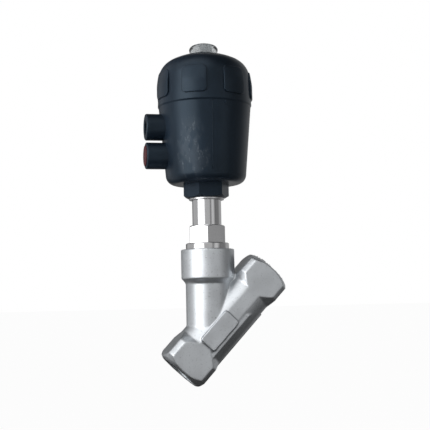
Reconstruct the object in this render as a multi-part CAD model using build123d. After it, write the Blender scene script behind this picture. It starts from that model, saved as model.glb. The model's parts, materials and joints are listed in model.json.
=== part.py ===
from build123d import *
import os
from math import acos, atan2, cos, radians, sin, sqrt, tan

os.makedirs("parts", exist_ok=True)

# Angle seat valve with a pneumatic piston actuator, normally closed, DN 25.
# Everything is modelled on the stem axis (Z up) with z = 0 at the seat, where the stem axis
# crosses the flow axis, and is moved once, on export, so that the origin is the centre of
# the inlet mouth. X runs towards the outlet and Y across. All sizes are in millimetres.

# ---------------------------------------------------------------- flow body
flow_angle = 43.0            # between the stem axis and the flow axis, degrees
inlet_reach = 38.2           # seat centre to inlet face, along the flow axis
outlet_reach = 75.2          # seat centre to outlet face
end_flat = 39.0              # across the wrench flats of both ends
end_radius = 24.8            # turned corners of the flats
end_face_radius = 17.4       # flat face round the mouth
end_shoulder_radius = 20.6   # the rim falls off in two slopes
end_shoulder_depth = 1.5
end_rim_depth = 5.0
inlet_flat_length = 14.6     # full-size length of the wrench end
outlet_flat_length = 13.6
end_cone_length = 7.0        # slope from the wrench end down to the run
run_radius = 20.2            # outside of the straight run
pipe_thread_minor = 15.145   # G 1 internal thread, minor radius
pipe_thread_depth = 16.0
thread_runout = 3.0
outlet_bore = 13.4
inlet_bore = 12.4
seat_bore = 12.0
seat_land = 2.0              # width of the raised seat crown
seat_crown = 1.5             # height of the crown above the chamber floor
seat_web = 4.0               # wall between the chamber floor and the inlet passage
barrel_radius = 18.7         # outside of the plug chamber
chamber_radius = 15.6
collar_radius = 22.2         # bonnet collar on top of the barrel
collar_height = 25.7
collar_slope = 2.6           # step from the collar to the barrel
collar_round = 2.2
bonnet_face = 72.1           # top of the collar
bonnet_thread = 16.5         # radius of the bonnet's screw thread
bonnet_thread_depth = 16.0
belly_point = 21.2           # keel of the six-sided belly, from the flow axis
belly_top = 17.5             # height where the belly runs out
plate_length = 31.6          # raised blank plate on the run
plate_width = 15.0
plate_stand = 0.9
plate_centre = 6.9           # along the flow axis
plate_round = 2.0

# ---------------------------------------------------------------- bonnet
ring_radius = 18.0
ring_height = 5.1
nut_flat = 29.0
nut_height = 14.8
nut_turn = -10.2              # a corner of the hexagon, from the front, degrees
neck_radius = 12.1
neck_length = 21.3           # visible tube, up to the washer
journal_radius = 10.5        # the actuator turns on this
journal_stand = 5.0          # journal end above the cylinder floor
gasket_height = 1.0
gasket_width = 1.3
packing_radius = 8.0
packing_floor = 23.6         # above the collar face
packing_spring_length = 12.0
packing_spring_turns = 3
packing_wire = 0.7
support_height = 3.0
chevron_count = 5
chevron_pitch = 1.75
chevron_thick = 1.6
chevron_rise = 1.2
gland_height = 11.0
shaft_seal_section = 1.6
shaft_seal_height = 7.0      # above the gland's foot
bush_radius = 7.5
bush_length = 10.0
washer_radius = 14.6
washer_thick = 1.6
circlip_radius = 13.4
circlip_thick = 1.2
circlip_groove = 1.1

# ---------------------------------------------------------------- actuator
hex_flat = 33.5
hex_height = 11.7
floor_thick = 6.0
housing_height = 64.6        # underside to the seam with the cap
housing_base_radius = 33.1
housing_top_radius = 38.8
housing_corner = 7.7
cylinder_radius = 30.0
cylinder_corner = 4.0
spigot_depth = 8.0
spigot_wall = 3.0
port_radius = 11.1
port_reach = 51.0            # stem axis to the port faces
port_spacing = 24.1
port_lower_height = 23.7     # above the housing's underside
port_thread_minor = 5.72     # G 1/4 internal thread, minor radius
port_thread_depth = 12.0
port_edge = 1.2
airway_radius = 1.5
airway_drop = 8.7            # the lower airway slopes down to stay below the piston
cap_radius = 39.1            # top of the cap's leaning wall
cap_foot_radius = 39.9
cap_chamfer = 1.3
pad_radius = 40.6
pad_count = 7
pad_angle = 30.7
pad_first = -24.0            # centre of one pad, from the front, degrees
pad_low = 6.4                # above the seam
pad_shoulder = 17.5
pad_high = 28.6
pad_top_radius = 38.9
pad_edge = 1.1
cap_wall_top = 24.0          # end of the cap's leaning wall, above the seam
cap_height = 45.8            # seam to the flat crown
cap_crown = 65.0             # radius of the crown's curve
cap_flat_radius = 12.8       # flat under the dome
spring_ceiling = 34.5        # above the seam
spring_seat_radius = 25.0
cap_bore = 29.4
cap_bore_height = 22.0
dome_radius = 12.2
dome_spigot = 9.0
dome_spigot_length = 6.0
dome_foot_radius = 11.25
dome_widest = 4.4            # height of the greatest radius above the cap
dome_crown = 25.0
dome_hollow = 7.6
dome_height = 9.9
dome_skin = 2.0
latch_turn = 14.5            # nib beside the seam, from the front, degrees
latch_radius = 1.3
latch_drop = 1.8             # nib's centre below the seam
latch_stand = 0.8

# ---------------------------------------------------------------- stem and plug
spindle_radius = 5.0
spindle_end_radius = 4.0
spindle_foot = 8.2
stroke = 12.0
piston_lift = 12.5           # cylinder floor to the piston's skirt, valve shut
piston_height = 14.0
piston_web = 4.0             # thickness under the springs
piston_hub_radius = 8.0
piston_hub_drop = 4.0        # hub below the skirt
piston_recess = 25.0
piston_seal_section = 2.8
piston_guide_height = 4.0
piston_guide_section = 1.5
piston_washer_thick = 1.5
piston_nut_flat = 13.0
piston_nut_height = 6.5
indicator_radius = 2.5
indicator_head = 6.4
indicator_head_height = 6.0
indicator_stub = 2.0
indicator_stub_length = 8.0
outer_spring_radius = 21.4
outer_spring_wire = 1.8
outer_spring_turns = 5
inner_spring_radius = 13.4
inner_spring_wire = 1.25
inner_spring_turns = 6
plug_radius = 14.9
plug_disc_top = 12.0
plug_hub_radius = 8.5
plug_hub_top = 26.0
seal_radius = 14.2
seal_bore = 9.0
seal_height = 4.0
seal_lip = 2.4               # how far the plug's lip reaches down around the seal
seal_washer_radius = 10.8
seal_washer_thick = 2.5
plug_stud_radius = 4.0
plug_nut_flat = 13.0
plug_nut_height = 6.5
groove_radius = 3.8
groove_foot = 17.0
pin_radius = 1.5
dust_plug_head = 8.6
dust_plug_head_thick = 0.8
dust_plug_edge = 0.3
dust_plug_length = 9.0

# ---------------------------------------------------------------- clearances
running = 0.05               # radial play of shafts, pistons and journals
seated = 0.02                # radial play of pieces that are pressed or screwed home
thread_play = 0.05
loose = 0.4                  # room round a spindle where nothing guides it

# ---------------------------------------------------------------- heights, worked out
ring_top = bonnet_face + ring_height
nut_top = ring_top + nut_height
neck_top = nut_top + neck_length
hex_foot = neck_top + washer_thick
underside = hex_foot + hex_height
cylinder_floor = underside + floor_thick
seam = underside + housing_height
journal_top = cylinder_floor + journal_stand
cap_top = seam + cap_height
ceiling = seam + spring_ceiling
piston_foot = cylinder_floor + piston_lift
piston_top = piston_foot + piston_height
spring_foot = piston_foot + piston_web
packing_base = bonnet_face + packing_floor
support_base = packing_base + packing_spring_length
chevron_base = support_base + support_height
gland_base = chevron_base + chevron_pitch * (chevron_count - 1) + chevron_thick + chevron_rise
port_lower = underside + port_lower_height
port_upper = port_lower + port_spacing
chamber_floor = -seat_crown
passage_top = chamber_floor - seat_web
shank_foot = bonnet_face - bonnet_thread_depth
piston_hub_top = piston_top - 2.0
spindle_top = piston_hub_top + piston_washer_thick + piston_nut_height

FRONT = -90.0                # the front of the valve looks along -Y
O_RING_SIDES = 8
WIRE_SIDES = 6


# ---------------------------------------------------------------- makers
def turned(points, arc=360):
    """Solid turned about Z from (radius, height) points."""
    outline = Polyline(*[(r, 0, z) for r, z in points], close=True)
    return revolve(make_face(outline), Axis.Z, revolution_arc=arc)


def ring(inner, outer, low, high):
    """Plain ring about Z."""
    return turned([(inner, low), (outer, low), (outer, high), (inner, high)])


def rod(radius, low, high):
    """Round bar on Z."""
    return Pos(0, 0, low) * Cylinder(radius, high - low, align=(Align.CENTER, Align.CENTER, Align.MIN))


def hexagon(flat, low, high, turn=0.0):
    """Hexagonal bar on Z with one corner at the given angle from +X."""
    outline = RegularPolygon(flat / sqrt(3), 6, rotation=turn)
    return Pos(0, 0, low) * extrude(outline, high - low)


def chamfered_hexagon(flat, low, high, turn=0.0, top=True, bottom=True):
    """Hexagon with the usual 30 degree turned chamfer on its faces."""
    corner = flat / sqrt(3)
    face = 0.475 * flat
    drop = (corner - face) * tan(radians(30))
    points = [(0, low), (face if bottom else corner, low)]
    if bottom:
        points.append((corner, low + drop))
    if top:
        points.append((corner, high - drop))
    points += [(face if top else corner, high), (0, high)]
    return hexagon(flat, low, high, turn) & turned(points)


def seal_ring(centre_radius, section, height):
    """O-ring with an eight-sided section, as wide as its round cord."""
    outline = RegularPolygon(section / 2, O_RING_SIDES, major_radius=False,
                             rotation=180 / O_RING_SIDES)
    return revolve(Plane.XZ * Pos(centre_radius, height) * outline, Axis.Z)


def domed_outline(side, side_height, crown, top, inner):
    """Two tangent arcs from a vertical wall over a shoulder to a crown centred on Z.

    side is the wall's radius, crown the crown's radius, top its height on Z, and inner the
    radius where the outline ends. Returns the arcs and the end's height."""
    crown_centre = top - crown
    drop = side_height - crown_centre
    shoulder = (crown ** 2 - side ** 2 - drop ** 2) / (2 * (crown - side))
    lean = atan2(drop, side - shoulder)

    def on_shoulder(angle):
        return (side - shoulder + shoulder * cos(angle), 0, side_height + shoulder * sin(angle))

    def on_crown(angle):
        return (crown * cos(angle), 0, crown_centre + crown * sin(angle))

    end = acos(inner / crown)
    arcs = (ThreePointArc(on_shoulder(0), on_shoulder(lean / 2), on_shoulder(lean))
            + ThreePointArc(on_crown(lean), on_crown((lean + end) / 2), on_crown(end)))
    return arcs, on_crown(end)[2]


def along_flow(shape):
    """Turn a shape made on Z so that it lies on the flow axis, outlet upwards."""
    return Rot(0, flow_angle, 0) * shape


def coil(radius, wire, low, high, turns):
    """Open coil spring on Z between two seats, its wire six-sided; wire is the wire's radius."""
    rise = high - low - 2 * wire
    path = Helix(rise / turns, rise, radius, center=(0, 0, low + wire))
    section = Plane(origin=path @ 0, z_dir=path % 0) * RegularPolygon(wire, WIRE_SIDES)
    return sweep(section, path=path, is_frenet=True)


def from_front(angle):
    """Angle from +X of a direction given from the front, positive towards +X."""
    return FRONT + angle


# ---------------------------------------------------------------- valve body
def flow_run():
    """The straight run with its two square wrench ends and the six-sided belly."""
    inlet_cone = -inlet_reach + end_rim_depth + inlet_flat_length
    outlet_cone = outlet_reach - end_rim_depth - outlet_flat_length
    rim = [(end_face_radius, 0), (end_shoulder_radius, end_shoulder_depth), (end_radius, end_rim_depth)]
    blank = turned(
        [(0, -inlet_reach)] + [(radius, -inlet_reach + depth) for radius, depth in rim]
        + [(end_radius, inlet_cone), (run_radius, inlet_cone + end_cone_length),
           (run_radius, outlet_cone - end_cone_length), (end_radius, outlet_cone)]
        + [(radius, outlet_reach - depth) for radius, depth in reversed(rim)] + [(0, outlet_reach)])
    square = Box(end_flat, end_flat, 2 * (inlet_reach + outlet_reach))
    square = fillet(square.edges().filter_by(Axis.Z), 1.0)
    return along_flow(blank & square)


def belly():
    """Lower half of a hexagonal prism under the seat, cut level at its upper end."""
    side = belly_point * sin(radians(60)) + 0.4
    corner = belly_point * cos(radians(60))
    flat = 1.6
    outline = Polyline((0, -side), (corner, -side), (belly_point, -flat), (belly_point, flat),
                       (corner, side), (0, side), close=True)
    length = outlet_reach
    prism = Pos(0, 0, -inlet_reach + end_rim_depth + inlet_flat_length) * extrude(make_face(outline), length)
    reach = 4 * outlet_reach
    keep = Pos(0, 0, belly_top - reach / 2) * Box(reach, reach, reach)
    return along_flow(prism) & keep


def blank_plate():
    """Raised plate on the front of the run, left bare."""
    depth = run_radius + plate_stand
    plate = extrude(RectangleRounded(plate_width, plate_length, plate_round), depth)
    return along_flow(Pos(0, 0, plate_centre) * Rot(90, 0, 0) * plate)


def barrel():
    """Plug chamber wall and bonnet collar."""
    foot = bonnet_face - collar_height
    outer = turned([
        (0, passage_top), (barrel_radius, passage_top), (barrel_radius, foot - collar_slope),
        (collar_radius - 1.6, foot), (collar_radius, foot + 1.6),
        (collar_radius, bonnet_face), (0, bonnet_face)])
    return outer


def flow_passages():
    """Inlet, seat opening, plug chamber, outlet and the three screw threads' bores."""
    chamber = rod(chamber_radius, chamber_floor, bonnet_face + 1)
    crown = ring(seat_bore, seat_bore + seat_land, chamber_floor, 0)
    thread = rod(bonnet_thread, shank_foot - 2.0, bonnet_face + 1)
    gasket_groove = ring(bonnet_thread, bonnet_thread + gasket_width + seated,
                         bonnet_face - gasket_height, bonnet_face + 1)
    outlet_start = outlet_bore * 1.05
    outlet = along_flow(turned([
        (0, outlet_start), (outlet_bore, outlet_start),
        (outlet_bore, outlet_reach - pipe_thread_depth - thread_runout),
        (pipe_thread_minor, outlet_reach - pipe_thread_depth),
        (pipe_thread_minor, outlet_reach + 1), (0, outlet_reach + 1)]))
    inlet_thread = along_flow(rod(pipe_thread_minor, -inlet_reach - 1, -inlet_reach + pipe_thread_depth))
    inlet = along_flow(turned([
        (0, -inlet_reach), (pipe_thread_minor, -inlet_reach),
        (pipe_thread_minor, -inlet_reach + pipe_thread_depth),
        (inlet_bore, -inlet_reach + pipe_thread_depth + thread_runout), (inlet_bore, 0), (0, 0)]))
    turn = Pos(-0.15 * inlet_bore, 0, passage_top - 0.25 * inlet_bore) * Sphere(inlet_bore)
    reach = 4 * outlet_reach
    below_web = Pos(0, 0, passage_top - reach / 2) * Box(reach, reach, reach)
    passage = (inlet + turn) & below_web
    opening = rod(seat_bore, passage_top - 1.0, 1.0)
    return (chamber - crown) + thread + gasket_groove + outlet + inlet_thread + passage + opening


def valve_body():
    outside = flow_run() + belly() + barrel() + blank_plate()
    return outside - flow_passages()


# ---------------------------------------------------------------- bonnet and packing
def bonnet():
    """Screwed bonnet: shank, polished ring, hexagon, neck tube and actuator journal."""
    groove_low = cylinder_floor + 2 * running
    turned_part = turned([
        (0, shank_foot), (bonnet_thread - thread_play, shank_foot),
        (bonnet_thread - thread_play, bonnet_face), (ring_radius, bonnet_face),
        (ring_radius, ring_top - 0.6), (ring_radius - 0.6, ring_top),
        (neck_radius, ring_top), (neck_radius, neck_top), (journal_radius, neck_top),
        (journal_radius, groove_low), (journal_radius - circlip_groove, groove_low),
        (journal_radius - circlip_groove, groove_low + circlip_thick + 2 * running),
        (journal_radius, groove_low + circlip_thick + 2 * running),
        (journal_radius, journal_top - 0.8), (journal_radius - 0.8, journal_top), (0, journal_top)])
    corner = from_front(nut_turn)
    solid = turned_part + chamfered_hexagon(nut_flat, ring_top, nut_top, corner, bottom=False)
    hollow = (rod(packing_radius, packing_base, journal_top + 1)
              + rod(spindle_radius + loose, shank_foot, journal_top)
              + rod(bush_radius, shank_foot - 1, shank_foot + bush_length))
    return solid - hollow


def packing_rings():
    """Chevron rings round the spindle, one solid each."""
    rings = []
    inner = spindle_radius + running
    outer = packing_radius - seated
    middle = (inner + outer) / 2
    for i in range(chevron_count):
        z = chevron_base + i * chevron_pitch
        rings.append(turned([
            (inner, z), (middle, z + chevron_rise), (outer, z), (outer, z + chevron_thick),
            (middle, z + chevron_thick + chevron_rise), (inner, z + chevron_thick)]))
    return Compound(children=rings)


def packing_support():
    """Ring between the spring and the chevrons, with a ridge that fits the lowest one."""
    inner = spindle_radius + running
    outer = packing_radius - seated
    top = support_base + support_height
    return turned([(inner, support_base), (outer, support_base), (outer, top - seated),
                   ((inner + outer) / 2, top + chevron_rise - seated), (inner, top - seated)])


def gland():
    """Screwed gland on the chevrons, with the groove of the shaft seal."""
    inner = spindle_radius + running
    groove = shaft_seal_section / 2
    middle = gland_base + shaft_seal_height
    body = turned([
        (inner, gland_base), (packing_radius - seated, gland_base),
        (packing_radius - seated, gland_base + gland_height), (inner, gland_base + gland_height),
        (inner, middle + groove), (inner + shaft_seal_section, middle + groove),
        (inner + shaft_seal_section, middle - groove), (inner, middle - groove)])
    return body


def shaft_seal():
    return seal_ring(spindle_radius + running + shaft_seal_section / 2,
                      shaft_seal_section - 2 * seated, gland_base + shaft_seal_height)


def guide_bush():
    return ring(spindle_radius + running, bush_radius - seated, shank_foot, shank_foot + bush_length - 0.1)


def circlip():
    """Open snap ring in the journal's groove, over the cylinder floor."""
    low = cylinder_floor + 3 * running
    full = ring(journal_radius - circlip_groove + seated, circlip_radius, low, low + circlip_thick)
    gap = Pos(circlip_radius, 0, low + circlip_thick / 2) * Box(circlip_radius, 5.0, 2 * circlip_thick)
    return full - gap


# ---------------------------------------------------------------- actuator housing and cap
def port(height):
    """Port boss pointing to -X, with a rounded mouth."""
    boss = Cylinder(port_radius, port_reach - cylinder_radius,
                    align=(Align.CENTER, Align.CENTER, Align.MIN))
    boss = fillet(boss.edges().sort_by(Axis.Z)[-1], port_edge)
    return Pos(-cylinder_radius, 0, height) * Rot(0, -90, 0) * boss


def port_bore(height, drop):
    """Thread bore of a port and its airway into the cylinder."""
    thread_end = port_reach - port_thread_depth
    thread = Pos(-thread_end, 0, height) * Rot(0, -90, 0) * Cylinder(
        port_thread_minor, port_thread_depth + 1, align=(Align.CENTER, Align.CENTER, Align.MIN))
    start = Vector(-thread_end - airway_radius, 0, height)
    end = Vector(-cylinder_radius + 2, 0, height - drop)
    way = end - start
    airway = Plane(origin=start, z_dir=way) * Cylinder(
        airway_radius, way.length, align=(Align.CENTER, Align.CENTER, Align.MIN))
    return thread + airway


def actuator_housing():
    """Moulded cylinder with its hexagon foot and two air ports."""
    slope = (housing_top_radius - housing_base_radius) / housing_height
    shell = turned([(0, underside), (housing_base_radius, underside),
                    (housing_top_radius, seam), (0, seam)])
    shell = fillet(shell.edges().filter_by(GeomType.CIRCLE).sort_by(Axis.Z)[0], housing_corner)
    foot = chamfered_hexagon(hex_flat, hex_foot, underside + slope, 0.0, top=False)
    latch = Rot(0, 0, from_front(latch_turn)) * Pos(housing_top_radius, 0, seam - latch_drop)
    latch *= Rot(0, 90, 0) * Cylinder(latch_radius, 2 * latch_stand)
    solid = shell + foot + port(port_lower) + port(port_upper) + latch
    cylinder = rod(cylinder_radius, cylinder_floor, seam + 1)
    cylinder = fillet(cylinder.edges().filter_by(GeomType.CIRCLE).sort_by(Axis.Z)[0], cylinder_corner)
    counterbore = rod(cylinder_radius + spigot_wall, seam - spigot_depth, seam + 1)
    journal = rod(journal_radius + running, hex_foot - 1, cylinder_floor + 1)
    seal_groove = ring(journal_radius, journal_radius + 1.9, underside - 1.3, underside + 1.3)
    solid = solid - cylinder - counterbore - journal - seal_groove
    return solid - port_bore(port_lower, airway_drop) - port_bore(port_upper, 0.0)


def cap_pad(angle):
    """Raised grip pad on the cap."""
    inner = cap_radius - 2.5
    pad = turned([
        (inner, seam + pad_low), (pad_radius, seam + pad_low),
        (pad_radius, seam + pad_shoulder), (pad_top_radius, seam + pad_high),
        (inner, seam + pad_high)], arc=pad_angle)
    outer_edges = [e for e in pad.edges()
                   if e.center().X ** 2 + e.center().Y ** 2 > (cap_radius - 1.6) ** 2
                   and abs(e.center().Z - seam - pad_shoulder) > 0.1]
    pad = chamfer(outer_edges, pad_edge)
    return Rot(0, 0, angle - pad_angle / 2) * pad


def actuator_cap():
    """Domed cap with its spigot, grip pads, spring seat and sight opening."""
    wall_top = seam + cap_wall_top
    crown_top = cap_top + cap_crown - sqrt(cap_crown ** 2 - cap_flat_radius ** 2)
    crown, flat_height = domed_outline(cap_radius, wall_top, cap_crown, crown_top, cap_flat_radius)
    base = Polyline((cap_flat_radius, 0, flat_height), (0, 0, flat_height), (0, 0, seam),
                    (cap_foot_radius - cap_chamfer, 0, seam), (cap_foot_radius, 0, seam + cap_chamfer),
                    (cap_radius, 0, wall_top))
    solid = revolve(make_face(crown + base), Axis.Z)
    for i in range(pad_count):
        solid += cap_pad(from_front(pad_first) + i * 360 / pad_count)
    spigot_radius = cylinder_radius + spigot_wall - seated
    spigot_foot = seam - spigot_depth + 0.2
    seal_low = seam - 0.65 * spigot_depth
    spigot = turned([
        (0, spigot_foot), (spigot_radius - 0.5, spigot_foot), (spigot_radius, spigot_foot + 0.5),
        (spigot_radius, seal_low), (spigot_radius - 1.8, seal_low),
        (spigot_radius - 1.8, seal_low + 2.4), (spigot_radius, seal_low + 2.4),
        (spigot_radius, seam), (0, seam)])
    hollow = turned([
        (0, spigot_foot - 1), (cap_bore, spigot_foot - 1), (cap_bore, seam + cap_bore_height),
        (spring_seat_radius, ceiling), (0, ceiling)])
    sight = rod(dome_spigot + seated, ceiling - 1, cap_top + 1)
    return solid + spigot - hollow - sight


def sight_dome():
    """Clear lens over the position indicator, hollow from below."""
    foot = cap_top - dome_spigot_length
    widest = cap_top + dome_widest
    lens, lens_top = domed_outline(dome_radius, widest, dome_crown, cap_top + dome_height, 0)
    base = Polyline((0, 0, lens_top), (0, 0, foot), (dome_spigot, 0, foot), (dome_spigot, 0, cap_top),
                    (dome_foot_radius, 0, cap_top))
    side = Line((dome_foot_radius, 0, cap_top), (dome_radius, 0, widest))
    solid = revolve(make_face(lens + base + side), Axis.Z)
    hollow_top = cap_top + dome_height - dome_skin
    roof, roof_top = domed_outline(dome_hollow, hollow_top - 0.35 * dome_hollow, dome_crown, hollow_top, 0)
    wall = Polyline((0, 0, roof_top), (0, 0, foot - 1), (dome_hollow, 0, foot - 1),
                    (dome_hollow, 0, hollow_top - 0.35 * dome_hollow))
    return solid - revolve(make_face(roof + wall), Axis.Z)


def neck_seal():
    return seal_ring(journal_radius + running + 0.9, 1.7, underside)


def cap_seal():
    spigot_radius = cylinder_radius + spigot_wall - seated
    return seal_ring(spigot_radius - 0.85, 1.62, seam - 0.65 * spigot_depth + 1.2)


# ---------------------------------------------------------------- piston group
def spindle():
    """Spindle with the plug's groove at its foot and the piston seat and thread on top."""
    return turned([
        (0, spindle_foot), (spindle_radius - 0.6, spindle_foot), (spindle_radius, spindle_foot + 0.6),
        (spindle_radius, groove_foot), (groove_radius, groove_foot),
        (groove_radius, groove_foot + 2 * (pin_radius + running)),
        (spindle_radius, groove_foot + 2 * (pin_radius + running)),
        (spindle_radius, piston_foot - piston_hub_drop),
        (spindle_end_radius, piston_foot - piston_hub_drop), (spindle_end_radius, spindle_top),
        (indicator_stub + seated, spindle_top),
        (indicator_stub + seated, spindle_top - indicator_stub_length),
        (0, spindle_top - indicator_stub_length)])


def piston():
    """Piston with spring recess, seal groove and guide groove."""
    outer = cylinder_radius - running
    seal_low = piston_top - 1.6 - piston_seal_section
    seal_in = outer - piston_seal_section
    guide_low = piston_foot + 1.6
    guide_in = outer - piston_guide_section
    hub_foot = piston_foot - piston_hub_drop
    return turned([
        (spindle_end_radius + seated, hub_foot), (piston_hub_radius, hub_foot),
        (piston_hub_radius, piston_foot), (outer - 1.0, piston_foot), (outer, piston_foot + 1.0),
        (outer, guide_low), (guide_in, guide_low), (guide_in, guide_low + piston_guide_height),
        (outer, guide_low + piston_guide_height), (outer, seal_low), (seal_in, seal_low),
        (seal_in, seal_low + piston_seal_section), (outer, seal_low + piston_seal_section),
        (outer, piston_top), (piston_recess, piston_top), (piston_recess, spring_foot),
        (piston_hub_radius, spring_foot), (piston_hub_radius, piston_hub_top),
        (spindle_end_radius + seated, piston_hub_top)])


def piston_seal():
    outer = cylinder_radius - running
    middle = piston_top - 1.6 - piston_seal_section / 2
    return seal_ring(outer - piston_seal_section / 2, piston_seal_section - 2 * seated, middle)


def piston_guide():
    """Split wear ring in the piston's lower groove."""
    outer = cylinder_radius - running / 2
    low = piston_foot + 1.6 + seated
    high = low + piston_guide_height - 2 * seated
    full = ring(outer - piston_guide_section + running, outer, low, high)
    cut = Pos(0, outer, (low + high) / 2) * Box(0.8, 4 * piston_guide_section, 2 * piston_guide_height)
    return full - cut


def threaded_nut(flat, bore, low, high, turn):
    return chamfered_hexagon(flat, low, high, turn) - rod(bore, low - 1, high + 1)


def indicator():
    """Coloured head under the dome on its slim rod, screwed into the spindle."""
    head_top = cap_top - 5.4
    return turned([
        (0, spindle_top - indicator_stub_length + 0.3),
        (indicator_stub, spindle_top - indicator_stub_length + 0.3), (indicator_stub, spindle_top),
        (indicator_radius, spindle_top), (indicator_radius, head_top - indicator_head_height),
        (indicator_head, head_top - indicator_head_height), (indicator_head, head_top - 1.5),
        (indicator_head - 1.5, head_top), (0, head_top)])


# ---------------------------------------------------------------- plug group
def plug_disc():
    """Swivelling plug: hub, disc with a lip round the seal, and stud."""
    play = spindle_radius + running
    solid = turned([
        (0, -seal_washer_thick - plug_nut_height - 1.0),
        (plug_stud_radius, -seal_washer_thick - plug_nut_height - 1.0), (plug_stud_radius, 0.05),
        (seal_bore - seated, 0.05), (seal_bore - seated, seal_height),
        (seal_radius + seated, seal_height), (seal_radius + seated, seal_height - seal_lip),
        (plug_radius, seal_height - seal_lip), (plug_radius, plug_disc_top - 3.0),
        (plug_hub_radius + 1.5, plug_disc_top), (plug_hub_radius, plug_disc_top + 1.5),
        (plug_hub_radius, plug_hub_top - 1.0), (plug_hub_radius - 1.0, plug_hub_top),
        (play, plug_hub_top), (play, spindle_foot - 0.4), (0, spindle_foot - 0.4)])
    return solid - pins(pin_radius + seated / 2, 2 * plug_hub_radius)


def pins(radius, length):
    """Two cross pins that lie in the spindle's groove."""
    offset = groove_radius + running + pin_radius
    height = groove_foot + pin_radius + running
    bar = Rot(90, 0, 0) * Cylinder(radius, length)
    return Compound(children=[Pos(offset, 0, height) * bar, Pos(-offset, 0, height) * bar])


def plug_pins():
    offset = groove_radius + running + pin_radius
    half = sqrt(plug_hub_radius ** 2 - (offset + pin_radius) ** 2)
    return pins(pin_radius, 2 * half)


# ---------------------------------------------------------------- dust plug
def port_plug():
    """Flanged dust plug in the lower port."""
    stem = port_thread_minor - 2 * running
    face = port_reach
    profile = turned([
        (0, -dust_plug_length), (stem - 0.8, -dust_plug_length), (stem, -dust_plug_length + 1.2),
        (stem, 0), (dust_plug_head, 0), (dust_plug_head, dust_plug_head_thick - dust_plug_edge),
        (dust_plug_head - dust_plug_edge, dust_plug_head_thick), (0, dust_plug_head_thick)])
    cup = rod(stem - 1.6, -dust_plug_length - 1, -1.2)
    return Pos(-face, 0, port_lower) * Rot(0, -90, 0) * (profile - cup)


# ---------------------------------------------------------------- export
seal_face = 0.05             # the shut plug's seal just meets the seat crown

pieces = {
    "valve_body": valve_body(),
    "bonnet": bonnet(),
    "bonnet_gasket": ring(bonnet_thread + thread_play, bonnet_thread + gasket_width,
                          bonnet_face - gasket_height, bonnet_face),
    "guide_bush": guide_bush(),
    "packing_spring": coil((spindle_radius + packing_radius) / 2 + packing_wire / 4, packing_wire,
                           packing_base, support_base, packing_spring_turns),
    "packing_support": packing_support(),
    "packing_rings": packing_rings(),
    "gland": gland(),
    "shaft_seal": shaft_seal(),
    "circlip": circlip(),
    "base_washer": ring(journal_radius + running, washer_radius, neck_top, hex_foot),
    "actuator_housing": actuator_housing(),
    "actuator_cap": actuator_cap(),
    "cap_seal": cap_seal(),
    "neck_seal": neck_seal(),
    "sight_dome": sight_dome(),
    "outer_spring": coil(outer_spring_radius, outer_spring_wire, spring_foot, ceiling,
                         outer_spring_turns),
    "inner_spring": coil(inner_spring_radius, inner_spring_wire, spring_foot, ceiling,
                         inner_spring_turns),
    "spindle": spindle(),
    "piston": piston(),
    "piston_seal": piston_seal(),
    "piston_guide": piston_guide(),
    "piston_washer": ring(spindle_end_radius + seated, piston_hub_radius, piston_hub_top,
                          piston_hub_top + piston_washer_thick),
    "piston_nut": threaded_nut(piston_nut_flat, spindle_end_radius + seated,
                               piston_hub_top + piston_washer_thick, spindle_top, 15.0),
    "indicator": indicator(),
    "plug_disc": plug_disc(),
    "seat_seal": ring(seal_bore, seal_radius, seal_face, seal_height),
    "seal_washer": ring(plug_stud_radius + seated, seal_washer_radius,
                        -seal_washer_thick + seal_face, seal_face),
    "plug_nut": threaded_nut(plug_nut_flat, plug_stud_radius + seated,
                             -seal_washer_thick - plug_nut_height + seal_face,
                             -seal_washer_thick + seal_face, 0.0),
    "plug_pins": plug_pins(),
    "port_plug": port_plug(),
}

mouth = Vector(-inlet_reach * sin(radians(flow_angle)), 0, -inlet_reach * cos(radians(flow_angle)))
to_mouth = Pos(-mouth.X, -mouth.Y, -mouth.Z)
for name, shape in pieces.items():
    solids = [to_mouth * solid for solid in shape.solids()]
    export_step(solids[0] if len(solids) == 1 else Compound(children=solids), f"parts/{name}.step")
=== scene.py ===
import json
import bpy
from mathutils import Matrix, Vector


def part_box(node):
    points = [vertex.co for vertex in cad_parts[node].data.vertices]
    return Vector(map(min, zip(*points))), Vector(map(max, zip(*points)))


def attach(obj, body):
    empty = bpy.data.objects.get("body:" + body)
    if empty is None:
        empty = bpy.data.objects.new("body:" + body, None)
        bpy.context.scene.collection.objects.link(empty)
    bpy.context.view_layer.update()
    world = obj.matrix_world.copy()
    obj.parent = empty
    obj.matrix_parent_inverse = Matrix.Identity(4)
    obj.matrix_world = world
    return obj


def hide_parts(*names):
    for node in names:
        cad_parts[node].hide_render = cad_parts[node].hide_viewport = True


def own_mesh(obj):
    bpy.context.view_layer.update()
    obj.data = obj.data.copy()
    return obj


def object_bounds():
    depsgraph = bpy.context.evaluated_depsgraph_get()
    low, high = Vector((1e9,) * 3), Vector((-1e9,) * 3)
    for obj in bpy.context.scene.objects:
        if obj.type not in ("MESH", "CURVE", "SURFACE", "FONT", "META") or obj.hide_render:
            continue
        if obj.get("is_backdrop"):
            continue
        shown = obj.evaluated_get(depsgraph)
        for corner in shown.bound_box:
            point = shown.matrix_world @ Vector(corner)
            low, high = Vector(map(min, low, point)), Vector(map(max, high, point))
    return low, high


bl_info = {
    "name": "Angle seat valve",
    "version": (1, 0, 0),
    "blender": (4, 5, 0),
    "location": "View3D > Sidebar > Valve",
    "description": "Finishes a pneumatic angle seat valve round its packed solids",
    "category": "Object",
}

from math import acos, atan2, cos, pi, radians, sin

import bmesh
import bpy
from mathutils import Matrix, Vector

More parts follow.
